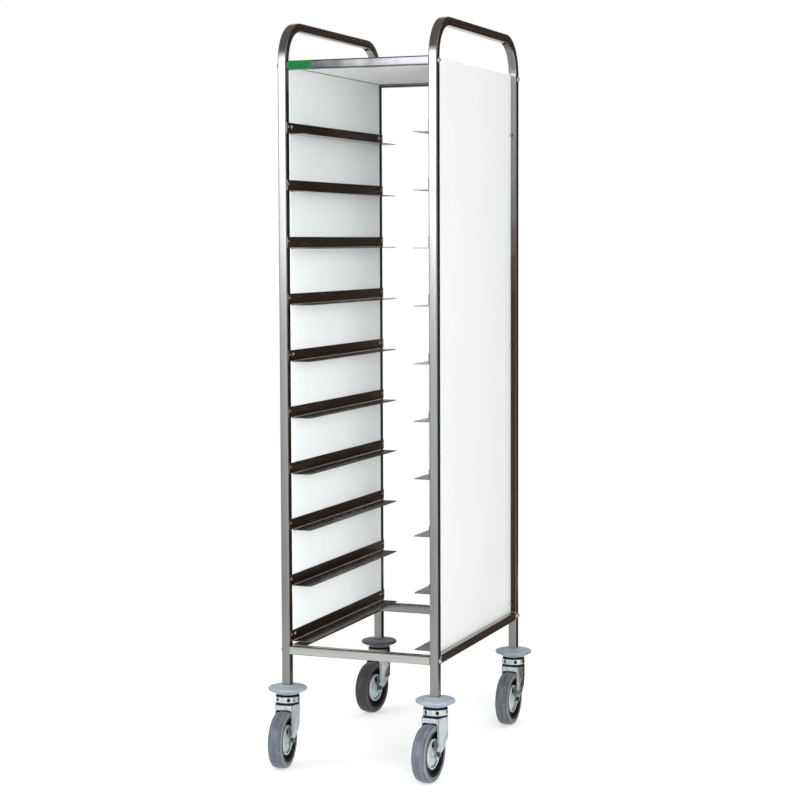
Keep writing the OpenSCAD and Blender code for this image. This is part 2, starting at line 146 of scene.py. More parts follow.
def makeGrainGroup():
    # fine lines along one direction, broad cloudy patches and short bright scratches
    group, given, out = newGroup(
        "brushedGrain",
        [("Vector", "NodeSocketVector", None), ("Lines", "NodeSocketVector", (2500, 2500, 12)),
         ("Patches", "NodeSocketVector", (14, 14, 3))],
        [("Lines", "NodeSocketFloat"), ("Patches", "NodeSocketFloat"), ("Scratches", "NodeSocketFloat")])
    fine = stretched(group, given["Vector"], given["Lines"])
    lines = addNoise(group, fine, 1.0, 3.0, Roughness=0.65)
    broad = stretched(group, given["Vector"], given["Patches"])
    patches = addNoise(group, broad, 1.0, 4.0, Roughness=0.55)
    sparse = stretched(group, fine, (0.22, 0.22, 0.5))
    marks = addNoise(group, sparse, 1.0, 1.0)
    group.links.new(lines, out["Lines"])
    group.links.new(patches, out["Patches"])
    group.links.new(fade(group, marks, 0.66, 0.74), out["Scratches"])
    return group


def makeWearGroup():
    # how close a point is to an outer edge, broken up by noise
    group, given, out = newGroup(
        "edgeWear",
        [("Vector", "NodeSocketVector", None), ("Radius", "NodeSocketFloat", 0.0012),
         ("Scale", "NodeSocketFloat", 180.0)],
        [("Worn", "NodeSocketFloat")])
    bevel = addNode(group, "Bevel", {"Radius": given["Radius"]}, samples=4)
    geometry = addNode(group, "NewGeometry")
    match = addNode(group, "VectorMath", {0: bevel.outputs["Normal"], 1: geometry.outputs["Normal"]},
                    operation="DOT_PRODUCT")
    edge = fade(group, match.outputs["Value"], 0.995, 0.86)
    noise = addNoise(group, given["Vector"], given["Scale"], 5.0)
    broken = fade(group, noise, 0.42, 0.6)
    group.links.new(addMath(group, "MULTIPLY", edge, broken), out["Worn"])
    return group


def makeDustGroup():
    # dust that settles on faces that look up and low down near the floor
    group, given, out = newGroup(
        "settledDust",
        [("Vector", "NodeSocketVector", None), ("Scale", "NodeSocketFloat", 90.0)],
        [("Dust", "NodeSocketFloat"), ("Low", "NodeSocketFloat")])
    geometry = addNode(group, "NewGeometry")
    normal = parts(group, geometry.outputs["Normal"])
    place = parts(group, given["Vector"])
    noise = addNoise(group, given["Vector"], given["Scale"], 6.0, Roughness=0.7)
    patches = fade(group, noise, 0.35, 0.7)
    up = addRange(group, normal["Z"], 0.2, 1.0, 0, 1)
    low = fade(group, place["Z"], 0.12, 0.0)
    group.links.new(addMath(group, "MULTIPLY", up, patches), out["Dust"])
    group.links.new(addMath(group, "MULTIPLY", low, patches), out["Low"])
    return group


def makePaintedShadeMask():
    # painted shade: faces that look along Facing, or with Inner at 1 towards the trolley's middle, are painted
    # dark, stronger from From to To along Along, none before End and none above the height Below
    group, given, out = newGroup(
        "paintedShadeMask",
        [("Vector", "NodeSocketVector", None), ("Facing", "NodeSocketVector", (0, -1, 0)),
         ("Inner", "NodeSocketFloat", 0.0), ("Along", "NodeSocketVector", (0, 0, 1)),
         ("From", "NodeSocketFloat", 1.5), ("To", "NodeSocketFloat", 1.0), ("End", "NodeSocketFloat", -9.0),
         ("Amount", "NodeSocketFloat", 0.9), ("Wander", "NodeSocketFloat", 0.05),
         ("Below", "NodeSocketFloat", 9.0)],
        [("PaintedShade", "NodeSocketFloat")])
    geometry = addNode(group, "NewGeometry")
    facing = addNode(group, "VectorMath", {0: geometry.outputs["Normal"], 1: given["Facing"]},
                     operation="DOT_PRODUCT").outputs["Value"]
    place = parts(group, given["Vector"])
    side = addMath(group, "SUBTRACT", addMath(group, "SIGN", place["Y"]), 1.0)
    turn = addMath(group, "ADD", addMath(group, "MULTIPLY", given["Inner"], side), 1.0)
    facing = addMath(group, "MULTIPLY", facing, turn)
    along = addNode(group, "VectorMath", {0: given["Vector"], 1: given["Along"]},
                    operation="DOT_PRODUCT").outputs["Value"]
    noise = addNoise(group, given["Vector"], 25.0, 4.0)
    stray = addRange(group, noise, 0.3, 0.7, -1.0, 1.0)
    wander = addMath(group, "ADD", along, addMath(group, "MULTIPLY", stray, given["Wander"]))
    amount = fade(group, wander, given["From"], given["To"], given["Amount"])
    past = addMath(group, "MULTIPLY", addMath(group, "GREATER_THAN", along, given["End"]),
                   addMath(group, "LESS_THAN", place["Z"], given["Below"]))
    look = fade(group, facing, 0.6, 0.9)
    group.links.new(addMath(group, "MULTIPLY", addMath(group, "MULTIPLY", amount, past), look), out["PaintedShade"])
    return group


brushedGrain = makeGrainGroup()
edgeWear = makeWearGroup()
settledDust = makeDustGroup()
paintedShadeMask = makePaintedShadeMask()


def placeGroup(tree, group, **inputs):
    node = addNode(tree, "Group", node_tree=group)
    for key, value in inputs.items():
        feed(tree, node.inputs[key], value)
    return node.outputs


def startMaterial(name, **fixed):
    material = bpy.data.materials.new(name)
    material.use_nodes = True
    tree = material.node_tree
    shader = tree.nodes["Principled BSDF"]
    for key, value in fixed.items():
        shader.inputs[key.replace("_", " ")].default_value = value
    return material, tree, shader


def objectPlace(tree):
    return addNode(tree, "TexCoord").outputs["Object"]


def tubePlace(tree):
    # runs along the bent tube: across the wall in X and Y, along the centre line in Z
    return addNode(tree, "Attribute", attribute_name="tubeRun").outputs["Vector"]


def addBump(tree, shader, height, strength, distance):
    bump = addNode(tree, "Bump", {"Height": height, "Strength": strength, "Distance": distance})
    tree.links.new(bump.outputs["Normal"], shader.inputs["Normal"])


def turnedPlace(tree):
    # radius and place along the axis of a turned piece, and the direction round it
    place = parts(tree, addNode(tree, "Attribute", attribute_name="turnedPlace").outputs["Vector"])
    around = addNode(tree, "Attribute", attribute_name="turnedAngle").outputs["Vector"]
    return place["X"], place["Y"], around


def addBands(tree, place, colour, bands):
    # bands of another colour between two values of place, with soft edges
    soft = 0.0004
    for start, end, tone, amount in bands:
        rise = fade(tree, place, start - soft, start + soft, amount)
        fall = addRange(tree, place, end - soft, end + soft, 1, 0, True)
        colour = mixColour(tree, addMath(tree, "MULTIPLY", rise, fall), colour, tone)
    return colour


def addStreaks(tree, across, around, scale, turns):
    # marks that run round a turned piece
    turned = parts(tree, around)
    run = addNode(tree, "CombineXYZ", {
        "X": addMath(tree, "MULTIPLY", across, scale),
        "Y": addMath(tree, "MULTIPLY", turned["X"], turns),
        "Z": addMath(tree, "MULTIPLY", turned["Y"], turns)})
    return addNoise(tree, run.outputs["Vector"], 1.0, 3.0)


def steelMaterial(name, place, values):
    # satin stainless steel: base colour, roughness and bump follow the grain
    v = {"dark": (0.245, 0.240, 0.235), "light": (0.36, 0.36, 0.355), "tint": (0.27, 0.25, 0.23),
         "rough": (0.12, 0.22), "lines": (2500, 2500, 12), "patches": (14, 14, 3), "bump": 0.12,
         "edge": (0.60, 0.60, 0.60), "edgeRadius": 0.0012, "metal": 1.0, "paintedShades": [],
         "paintedShadeColour": (0.050, 0.031, 0.022), **values}
    material, tree, shader = startMaterial(name, Metallic=v["metal"], Anisotropic=0.0)
    where = place(tree)
    grain = placeGroup(tree, brushedGrain, Vector=where, Lines=v["lines"], Patches=v["patches"])
    wear = placeGroup(tree, edgeWear, Vector=objectPlace(tree), Radius=v["edgeRadius"])
    dust = placeGroup(tree, settledDust, Vector=objectPlace(tree))
    colour = mixColour(tree, addRange(tree, grain["Lines"], 0.3, 0.7, 0, 1), v["dark"], v["light"])
    colour = mixColour(tree, fade(tree, grain["Patches"], 0.45, 0.75, 0.5), colour, v["tint"])
    colour = mixColour(tree, addRange(tree, wear["Worn"], 0, 1, 0, 0.6), colour, v["edge"])
    # painted shade: each entry paints its chosen faces dark brown, for shade and dark reflections
    for faces in v["paintedShades"]:
        tone = placeGroup(tree, paintedShadeMask, Vector=objectPlace(tree), **faces)
        colour = mixColour(tree, tone["PaintedShade"], colour, v["paintedShadeColour"])
    colour = mixColour(tree, addRange(tree, dust["Dust"], 0, 1, 0, 0.05), colour, (0.55, 0.53, 0.50))
    tree.links.new(colour, shader.inputs["Base Color"])
    low, high = v["rough"]
    rough = addRange(tree, grain["Lines"], 0.3, 0.7, low, high)
    rough = addMath(tree, "ADD", rough, fade(tree, grain["Patches"], 0.4, 0.7, 0.08))
    rough = addMath(tree, "ADD", rough, addRange(tree, dust["Dust"], 0, 1, 0.0, 0.05))
    rough = addMath(tree, "SUBTRACT", rough, addRange(tree, grain["Scratches"], 0, 1, 0.0, 0.08))
    tree.links.new(rough, shader.inputs["Roughness"])
    height = addMath(tree, "SUBTRACT", grain["Lines"], addMath(tree, "MULTIPLY", grain["Scratches"], 0.5))
    addBump(tree, shader, height, v["bump"], 0.0002)
    return material


# which way the grain runs
crossGrain = {"lines": (12, 2500, 2500), "patches": (3, 14, 14)}
depthGrain = {"lines": (2500, 12, 2500), "patches": (14, 3, 14)}
sheetGrain = {"lines": (1800, 9, 1800), "patches": (18, 2.5, 18), "bump": 0.08, "edgeRadius": 0.0006}
smallGrain = {"lines": (900, 900, 900), "patches": (120, 120, 120)}

# painted shade: post faces that look towards the middle are painted darker from 1.56 m down, and faces that look
# to +X darker towards the left, below the top rail
frameSteel = steelMaterial("frameSteel", tubePlace, {
    "dark": (0.262, 0.257, 0.252), "light": (0.385, 0.385, 0.380), "paintedShadeColour": (0.048, 0.027, 0.017),
    "paintedShades": [{"Facing": (0, -1, 0), "Inner": 1.0, "From": 1.56, "To": 1.0, "End": lowRailZ + tubeSide,
               "Amount": 0.96},
              {"Facing": (1, 0, 0), "Along": (1, 0, 0), "From": 0.60, "To": -innerX, "Amount": 0.74,
               "Below": railTopZ}]})
crossSteel = steelMaterial("crossSteel", objectPlace, crossGrain)
# painted shade: a darker copy of the steel, its front face painted darker towards the left
shadedTopRailSteel = steelMaterial("shadedTopRailSteel", objectPlace, {
    **crossGrain, "dark": (0.162, 0.162, 0.170), "light": (0.256, 0.256, 0.268),
    "paintedShadeColour": (0.022, 0.022, 0.027),
    "paintedShades": [{"Facing": (0, -1, 0), "Along": (1, 0, 0), "From": 0.17, "To": -0.15, "Amount": 0.94}]})
# painted shade: a darker copy of the steel, with a dark band painted along the lower edge of its front face
shadedRearTopSteel = steelMaterial("shadedRearTopSteel", objectPlace, {
    **crossGrain, "dark": (0.16, 0.16, 0.16), "light": (0.24, 0.24, 0.24),
    "paintedShades": [{"Facing": (0, -1, 0), "From": railTopZ - 0.0160, "To": railTopZ - 0.0172, "Amount": 0.95,
               "Wander": 0.0002}]})
# painted light and shade: a lighter copy of the steel, with a thin dark line painted along its upper front edge
litLowRailSteel = steelMaterial("litLowRailSteel", objectPlace, {
    **crossGrain, "dark": (0.46, 0.47, 0.44), "light": (0.66, 0.67, 0.63), "tint": (0.40, 0.40, 0.38),
    "paintedShades": [{"Facing": (0, -0.7, 0.7), "From": lowRailZ + 0.0165, "To": lowRailZ + 0.0180, "Amount": 0.9,
               "Wander": 0.0002}]})
sideSteel = steelMaterial("sideSteel", objectPlace, depthGrain)
# painted shade and light: copies of one sheet steel: dark brown flanges, a pale line in the fold, a darker shelf
# on the left and a lighter shelf on the right
shadedRunnerSteel = steelMaterial("shadedRunnerSteel", objectPlace, {
    **sheetGrain, "dark": (0.145, 0.114, 0.099), "light": (0.24, 0.202, 0.184),
    "tint": (0.162, 0.123, 0.101), "rough": (0.13, 0.24), "edge": (0.62, 0.60, 0.58)})
leftShelfSteel = steelMaterial("leftShelfSteel", objectPlace, {
    **sheetGrain, "dark": (0.23, 0.205, 0.19), "light": (0.31, 0.285, 0.27), "tint": (0.24, 0.21, 0.195),
    "rough": (0.13, 0.22), "edge": (0.62, 0.60, 0.58)})
litRightShelfSteel = steelMaterial("litRightShelfSteel", objectPlace, {
    **sheetGrain, "dark": (0.44, 0.435, 0.42), "light": (0.51, 0.505, 0.49), "tint": (0.45, 0.44, 0.425),
    "rough": (0.16, 0.28), "edge": (0.66, 0.66, 0.64), "metal": 0.8})
foldHighlightSteel = steelMaterial("foldHighlightSteel", objectPlace, {
    **sheetGrain, "dark": (0.50, 0.48, 0.45), "light": (0.70, 0.68, 0.65), "tint": (0.45, 0.43, 0.41),
    "rough": (0.30, 0.45), "metal": 0.85})
fastenerSteel = steelMaterial("fastenerSteel", objectPlace, {
    **smallGrain, "dark": (0.55, 0.55, 0.55), "light": (0.74, 0.74, 0.74), "tint": (0.60, 0.58, 0.56),
    "rough": (0.12, 0.24), "edgeRadius": 0.0004})
washerSteel = steelMaterial("washerSteel", objectPlace, {
    **smallGrain, "dark": (0.10, 0.10, 0.10), "light": (0.20, 0.20, 0.20), "tint": (0.12, 0.11, 0.10),
    "rough": (0.2, 0.3), "edgeRadius": 0.0003})


def zincMaterial(name, values):
    # bright zinc plating: bluish, with soft crystal patches, painted reflections in upright stripes, and darker
    # edges
    v = {"base": (0.60, 0.66, 0.69), "pale": (0.75, 0.80, 0.82), "shade": (0.43, 0.48, 0.52),
         "edge": (0.20, 0.22, 0.23), "rough": (0.14, 0.28), "scale": 160.0, "crystals": 0.12,
         "reflectionStripes": 0.55, "fold": 0.0, "bands": (), "streaks": 0.0, "hole": None, "metal": 1.0, **values}
    material, tree, shader = startMaterial(name, Metallic=v["metal"])
    where = objectPlace(tree)
    cells = addNode(tree, "TexVoronoi", {"Vector": where, "Scale": v["scale"] * 2.2, "Smoothness": 0.6},
                    feature="SMOOTH_F1")
    clouds = addNoise(tree, where, v["scale"] / 2, 5.0, Roughness=0.6)
    fine = addNoise(tree, where, v["scale"] * 9, 2.0)
    grain = placeGroup(tree, brushedGrain, Vector=where, Lines=(700, 700, 60), Patches=(30, 30, 12))
    wear = placeGroup(tree, edgeWear, Vector=where, Radius=0.001)
    dust = placeGroup(tree, settledDust, Vector=where)
    colour = mixColour(tree, fade(tree, clouds, 0.35, 0.65), v["base"], v["pale"])
    colour = mixColour(tree, fade(tree, cells.outputs["Distance"], 0.25, 0.6, v["crystals"]),
                       colour, v["shade"])
    # painted reflection: upright stripes, darker in places
    if v["reflectionStripes"]:
        uprightPlace = stretched(tree, where, (240, 240, 9))
        reflectionStripes = addNoise(tree, uprightPlace, 1.0, 2.0)
        colour = mixColour(tree, fade(tree, reflectionStripes, 0.45, 0.65, v["reflectionStripes"]), colour, v["shade"])
    if v["bands"] or v["streaks"] or v["hole"]:
        radius, _, around = turnedPlace(tree)
        streaks = addStreaks(tree, radius, around, 500.0, 3.0)
        colour = mixColour(tree, fade(tree, streaks, 0.4, 0.65, v["streaks"]), colour, v["shade"])
        colour = addBands(tree, radius, colour, v["bands"])
    # painted shade: a black round spot on the disc stands for a hole
    if v["hole"]:
        middle, size, soft = v["hole"]
        flat = addNode(tree, "VectorMath", {0: around, "Scale": radius}, operation="SCALE").outputs["Vector"]
        away = addNode(tree, "VectorMath", {0: flat, 1: (*middle, 0)}, operation="DISTANCE")
        inPaintedHole = fade(tree, away.outputs["Value"], size + soft, size - soft)
        colour = mixColour(tree, inPaintedHole, colour, (0.012, 0.012, 0.012))
    # painted shade: a dark line where the fork's front face bends round into its side
    if v["fold"]:
        normal = parts(tree, addNode(tree, "NewGeometry").outputs["Normal"])
        match = addMath(tree, "MULTIPLY", addMath(tree, "SUBTRACT", addMath(tree, "ABSOLUTE", normal["X"]),
                                                  normal["Y"]), 0.7071)
        colour = mixColour(tree, fade(tree, match, 0.94, 0.985, v["fold"]), colour, v["edge"])
    colour = mixColour(tree, addRange(tree, wear["Worn"], 0, 1, 0, 0.6), colour, v["edge"])
    colour = mixColour(tree, addRange(tree, dust["Dust"], 0, 1, 0, 0.25), colour, (0.45, 0.43, 0.40))
    tree.links.new(colour, shader.inputs["Base Color"])
    rough = addRange(tree, clouds, 0.3, 0.7, v["rough"][0], v["rough"][1])
    rough = addMath(tree, "ADD", rough, addRange(tree, grain["Lines"], 0.3, 0.7, 0.0, 0.05))
    rough = addMath(tree, "ADD", rough, addRange(tree, dust["Dust"], 0, 1, 0.0, 0.2))
    tree.links.new(rough, shader.inputs["Roughness"])
    height = addMath(tree, "ADD", cells.outputs["Distance"], addMath(tree, "MULTIPLY", fine, 0.3))
    addBump(tree, shader, height, 0.06, 0.0002)
    return material


zincPlate = zincMaterial("zincPlate", {"base": (0.66, 0.72, 0.75), "pale": (0.80, 0.85, 0.87)})
forkPlate = zincMaterial("forkPlate", {"base": (0.66, 0.72, 0.74), "pale": (0.80, 0.85, 0.86), "fold": 0.7})
dullAndShadedPlate = zincMaterial("dullAndShadedPlate", {"base": (0.20, 0.18, 0.17), "pale": (0.34, 0.33, 0.33),
                                       "shade": (0.10, 0.09, 0.09)})
# painted highlight and shade: a pale ring at the rim of the disc with a dark ring just inside it
hubPlate = zincMaterial("hubPlate", {
    "base": (0.67, 0.77, 0.81), "pale": (0.81, 0.88, 0.91), "rough": (0.42, 0.56), "scale": 220.0,
    "metal": 0.75, "reflectionStripes": 0.0, "streaks": 0.45, "hole": ((-0.002, 0.019), 0.0066, 0.0008),
    "bands": ((0.0262, 0.0290, (0.16, 0.17, 0.18), 0.75), (0.0292, 0.0335, (0.90, 0.93, 0.94), 0.9))})


def rubberMaterial(name, values):
    # solid rubber: fine mould grain, chalky scuffs on the outer rim, dust low down
    v = {"base": (0.125, 0.150, 0.180), "pale": (0.17, 0.195, 0.225), "scuffAndHighlight": (0.28, 0.31, 0.34),
         "dust": (0.24, 0.25, 0.26), "rough": (0.52, 0.72), "grain": 1500.0, "scuffs": 0.5, "sheen": 0.15,
         "ior": 1.45, "dusty": 1.0, "radiusBands": (), "alongBands": (), "streaks": 0.0, "mottle": 0.0,
         "shade": (0.06, 0.065, 0.075), **values}
    material, tree, shader = startMaterial(name, Metallic=0.0, IOR=v["ior"], Sheen_Weight=v["sheen"],
                                           Sheen_Roughness=0.5)
    where = objectPlace(tree)
    clouds = addNoise(tree, where, 45.0, 6.0, Roughness=0.65)
    pores = addNoise(tree, where, v["grain"], 2.0)
    smear = addNoise(tree, where, 130.0, 7.0, Roughness=0.75, Distortion=0.8)
    wear = placeGroup(tree, edgeWear, Vector=where, Radius=0.002, Scale=260.0)
    dust = placeGroup(tree, settledDust, Vector=where)
    colour = mixColour(tree, fade(tree, clouds, 0.35, 0.65), v["base"], v["pale"])
    colour = mixColour(tree, fade(tree, smear, 0.58, 0.74, v["scuffs"] * 0.6), colour, v["scuffAndHighlight"])
    colour = mixColour(tree, addRange(tree, wear["Worn"], 0, 1, 0, v["scuffs"]), colour, v["scuffAndHighlight"])
    if v["mottle"]:
        mottle = addNoise(tree, where, 150.0, 3.0, Roughness=0.5)
        colour = mixColour(tree, addRange(tree, mottle, 0.40, 0.62, v["mottle"], 0, True),
                           colour, v["shade"])
    if v["radiusBands"] or v["streaks"]:
        radius, along, around = turnedPlace(tree)
        streaks = addStreaks(tree, along, around, 420.0, 1.2)
        colour = mixColour(tree, fade(tree, streaks, 0.56, 0.42, v["streaks"]), colour, v["shade"])
        colour = mixColour(tree, fade(tree, streaks, 0.56, 0.66, v["streaks"] * 0.7), colour, v["scuffAndHighlight"])
    colour = mixColour(tree, addRange(tree, dust["Low"], 0, 1, 0, 0.35 * v["dusty"]), colour, v["dust"])
    colour = mixColour(tree, addRange(tree, dust["Dust"], 0, 1, 0, 0.15 * v["dusty"]), colour, v["dust"])
    if v["radiusBands"]:
        colour = addBands(tree, along, colour, v["alongBands"])
        colour = addBands(tree, radius, colour, v["radiusBands"])
    tree.links.new(colour, shader.inputs["Base Color"])
    rough = addRange(tree, smear, 0.35, 0.7, v["rough"][0], v["rough"][1])
    tree.links.new(rough, shader.inputs["Roughness"])
    height = addMath(tree, "ADD", pores, addMath(tree, "MULTIPLY", smear, 0.8))
    addBump(tree, shader, height, 0.18, 0.0003)
    return material


def scaled(colour, factors):
    return tuple(value * factor for value, factor in zip(colour, factors))


# painted shade: each corner has its own copy of the rubbers, scaled darker for the shade at that corner; the rear
# left wheel is painted nearly black
cornerShading = {"front_left": ((0.69, 0.71, 0.73), (0.68, 0.74, 0.80)),
               "front_right": ((0.75, 0.77, 0.79), (0.72, 0.77, 0.83)),
               "rear_left": ((0.25, 0.185, 0.16), (0.110, 0.105, 0.115)),
               "rear_right": ((0.61, 0.58, 0.58), (0.58, 0.62, 0.66))}
tyreColours = {"base": (0.115, 0.138, 0.168), "pale": (0.155, 0.180, 0.212), "scuffAndHighlight": (0.29, 0.32, 0.35),
               "dust": (0.22, 0.23, 0.24), "shade": (0.050, 0.055, 0.068)}
bumperColours = {"base": (0.42, 0.48, 0.53), "pale": (0.54, 0.59, 0.63), "scuffAndHighlight": (0.66, 0.69, 0.71),
                 "dust": (0.42, 0.40, 0.37), "shade": (0.22, 0.25, 0.28)}
tyreRubber, bumperRubber = {}, {}
for corner, (tyreShading, bumperShading) in cornerShading.items():
    tyre = {key: scaled(colour, tyreShading) for key, colour in tyreColours.items()}
    tyreRubber[corner] = rubberMaterial(corner + "ShadedTyreRubber", {
        **tyre, "streaks": 0.55,
        "alongBands": ((-0.0003, 0.0003, tyre["shade"], 0.6),),
        # painted shade: black inside the bead and thin dark rings on the sidewall; painted highlight: the pale
        # ring at the shoulder
        "radiusBands": ((0.0, 0.0500, (0.004, 0.003, 0.003), 1.0), (0.0530, 0.0556, tyre["shade"], 0.55),
                        (0.0568, 0.0592, tyre["scuffAndHighlight"], 0.85), (0.0600, 0.0609, tyre["shade"], 0.5))})
    bumper = {key: scaled(colour, bumperShading) for key, colour in bumperColours.items()}
    bumperRubber[corner] = rubberMaterial(corner + "ShadedBumperRubber", {
        **bumper, "rough": (0.38, 0.55), "grain": 1100.0, "scuffs": 0.3, "mottle": 0.35,
        # painted shade: darker round the post; a second darker ring further out
        "radiusBands": ((0.0, 0.0120, bumper["shade"], 0.6), (0.0428, 0.0460, bumper["shade"], 0.5))})
# painted shade: near-black for hollows, gaps and the inside of the fork
paintedShadeBlack = rubberMaterial("paintedShadeBlack", {
    "base": (0.004, 0.0035, 0.0035), "pale": (0.008, 0.007, 0.007), "scuffAndHighlight": (0.03, 0.028, 0.027),
    "dust": (0.04, 0.037, 0.035), "rough": (0.45, 0.65), "scuffs": 0.2, "sheen": 0.0, "ior": 1.2,
    "dusty": 0.3})


def laminateMaterial(name, values):
    # white laminate: faint orange peel, very soft mottling, a few hairline scuffs, browned cut edge
    v = {"base": (0.86, 0.87, 0.865), "pale": (0.885, 0.892, 0.887), "scuffAndHighlight": (0.76, 0.77, 0.77),
         "rough": (0.34, 0.42), "ior": 1.48, "paintedTopShade": 0.0, "joint": None, **values}
    material, tree, shader = startMaterial(name, Metallic=0.0, IOR=v["ior"], Coat_Roughness=0.12)
    where = objectPlace(tree)
    mottle = addNoise(tree, where, 5.0, 5.0, Roughness=0.6)
    peel = addNoise(tree, where, 420.0, 2.0)
    grain = placeGroup(tree, brushedGrain, Vector=where, Lines=(900, 120, 14), Patches=(6, 6, 2.5))
    wear = placeGroup(tree, edgeWear, Vector=where, Radius=0.0015, Scale=120.0)
    colour = mixColour(tree, fade(tree, mottle, 0.3, 0.7), v["base"], v["pale"])
    colour = mixColour(tree, addRange(tree, grain["Scratches"], 0, 1, 0, 0.12), colour, v["scuffAndHighlight"])
    colour = mixColour(tree, addRange(tree, wear["Worn"], 0, 1, 0, 0.35), colour, (0.60, 0.56, 0.50))
    if v["paintedTopShade"]:  # painted shade: the inner face is painted darker upwards towards the board; it also has a thin joint under the board
        height = parts(tree, where)["Z"]
        normal = parts(tree, addNode(tree, "NewGeometry").outputs["Normal"])
        inside = addMath(tree, "GREATER_THAN", normal["X"], 0.5)
        shade = addMath(tree, "MULTIPLY", inside, fade(tree, height, 0.9, railTopZ, v["paintedTopShade"]))
        colour = mixColour(tree, shade, colour, (0.34, 0.36, 0.38))
        joined = addBands(tree, height, colour, ((*v["joint"], (0.10, 0.075, 0.06), 0.85),))
        colour = mixColour(tree, inside, colour, joined)
    tree.links.new(colour, shader.inputs["Base Color"])
    rough = addRange(tree, grain["Patches"], 0.3, 0.7, v["rough"][0], v["rough"][1])
    rough = addMath(tree, "ADD", rough, addRange(tree, grain["Scratches"], 0, 1, 0.0, 0.15))
    tree.links.new(rough, shader.inputs["Roughness"])
    tree.links.new(addRange(tree, mottle, 0.3, 0.7, 0.02, 0.06), shader.inputs["Coat Weight"])
    addBump(tree, shader, peel, 0.05, 0.0002)
    return material


# painted light and shade: both panels are one laminate; the right copy is darker, the left copy brighter and bluer
shadedRightLaminate = laminateMaterial("shadedRightLaminate", {
    "base": (0.745, 0.755, 0.75), "pale": (0.77, 0.778, 0.773), "ior": 1.25})
leftLaminate = laminateMaterial("leftLaminate", {
    "base": (0.90, 0.935, 0.94), "pale": (0.93, 0.955, 0.96), "paintedTopShade": 0.40,
    "joint": (railTopZ - 0.0138, railTopZ - 0.0118)})
boardLaminate = laminateMaterial("boardLaminate", {"base": (0.90, 0.90, 0.885), "pale": (0.93, 0.93, 0.915)})


def enamelMaterial(name, v):
    # enamel on the blank label plate: fine flakes, pale where the edge has worn
    material, tree, shader = startMaterial(name, Metallic=0.0, IOR=v["ior"], Coat_Roughness=0.2)
    where = objectPlace(tree)
    clouds = addNoise(tree, where, 70.0, 5.0)
    flakes = addNoise(tree, where, 2200.0, 1.0)
    wear = placeGroup(tree, edgeWear, Vector=where, Radius=0.0006, Scale=900.0)
    colour = mixColour(tree, fade(tree, clouds, 0.3, 0.7), v["base"], v["pale"])
    colour = mixColour(tree, addRange(tree, wear["Worn"], 0, 1, 0, 0.5), colour, v["edge"])
    tree.links.new(colour, shader.inputs["Base Color"])
    tree.links.new(addRange(tree, clouds, 0.3, 0.7, *v["rough"]), shader.inputs["Roughness"])
    tree.links.new(addRange(tree, clouds, 0.3, 0.7, 0.0, 0.03), shader.inputs["Coat Weight"])
    addBump(tree, shader, flakes, 0.04, 0.0001)
    return material


def dowelMaterial(name, v):
    # plain wood with a fine grain along Y
    material, tree, shader = startMaterial(name, Metallic=0.0)
    where = objectPlace(tree)
    grain = placeGroup(tree, brushedGrain, Vector=where, Lines=(900, 60, 900), Patches=(80, 12, 80))
    tree.links.new(mixColour(tree, grain["Lines"], v["dark"], v["light"]), shader.inputs["Base Color"])
    tree.links.new(addRange(tree, grain["Lines"], 0.3, 0.7, *v["rough"]), shader.inputs["Roughness"])
    addBump(tree, shader, grain["Lines"], 0.2, 0.0003)
    return material


greenEnamel = enamelMaterial("greenEnamel", {
    "base": (0.001, 0.085, 0.018), "pale": (0.002, 0.115, 0.026), "edge": (0.35, 0.42, 0.37),
    "rough": (0.38, 0.5), "ior": 1.18})
beech = dowelMaterial("beech", {
    "dark": (0.50, 0.33, 0.19), "light": (0.68, 0.50, 0.32), "rough": (0.5, 0.7)})
print("stage: materials made,", len(bpy.data.materials))


# helpers for pieces

def pieceFromMesh(bm, name, body, materials):
    mesh = bpy.data.meshes.new(name)
    bm.to_mesh(mesh)
    bm.free()
    for material in materials:
        mesh.materials.append(material)
    piece = bpy.data.objects.new(name, mesh)
    scene.collection.objects.link(piece)
    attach(piece, body)
    return piece


def sharpenByAngle(bm, degrees):
    for face in bm.faces:
        face.smooth = True
    limit = math.radians(degrees)
    for edge in bm.edges:
        edge.smooth = len(edge.link_faces) == 2 and edge.calc_face_angle(0) < limit


def mergedCopy(nodeName, angle=32, flatten=True):
    # the CAD solid as one closed mesh, with the loose triangles of each flat face joined
    bm = bmesh.new()
    bm.from_mesh(nodes[nodeName].data)
    bmesh.ops.remove_doubles(bm, verts=bm.verts, dist=0.000004)
    if flatten:
        bmesh.ops.dissolve_limit(bm, angle_limit=math.radians(0.4), verts=bm.verts, edges=bm.edges,
                                 delimit={"NORMAL"})
    sharpenByAngle(bm, angle)
    return bm


def addBevel(piece, width, segments=2, angle=32):
    bevel = piece.modifiers.new("softEdges", "BEVEL")
    bevel.width, bevel.segments = width, segments
    bevel.limit_method, bevel.angle_limit = "ANGLE", math.radians(angle)
    bevel.harden_normals = True
    bevel.use_clamp_overlap = True


def dressNode(nodeName, materials, slotName, bevel=0.0, angle=32, segments=2, flatten=True, paint=None,
              reshape=None):
    bm = mergedCopy(nodeName, angle, flatten)
    if reshape:
        reshape(bm)
    if paint:
        for face in bm.faces:
            face.material_index = paint(face)
    piece = pieceFromMesh(bm, nodeName + ".finish", bodyOf[nodeName], materials)
    if bevel:
        addBevel(piece, bevel, segments, angle)
    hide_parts(nodeName)
    return piece


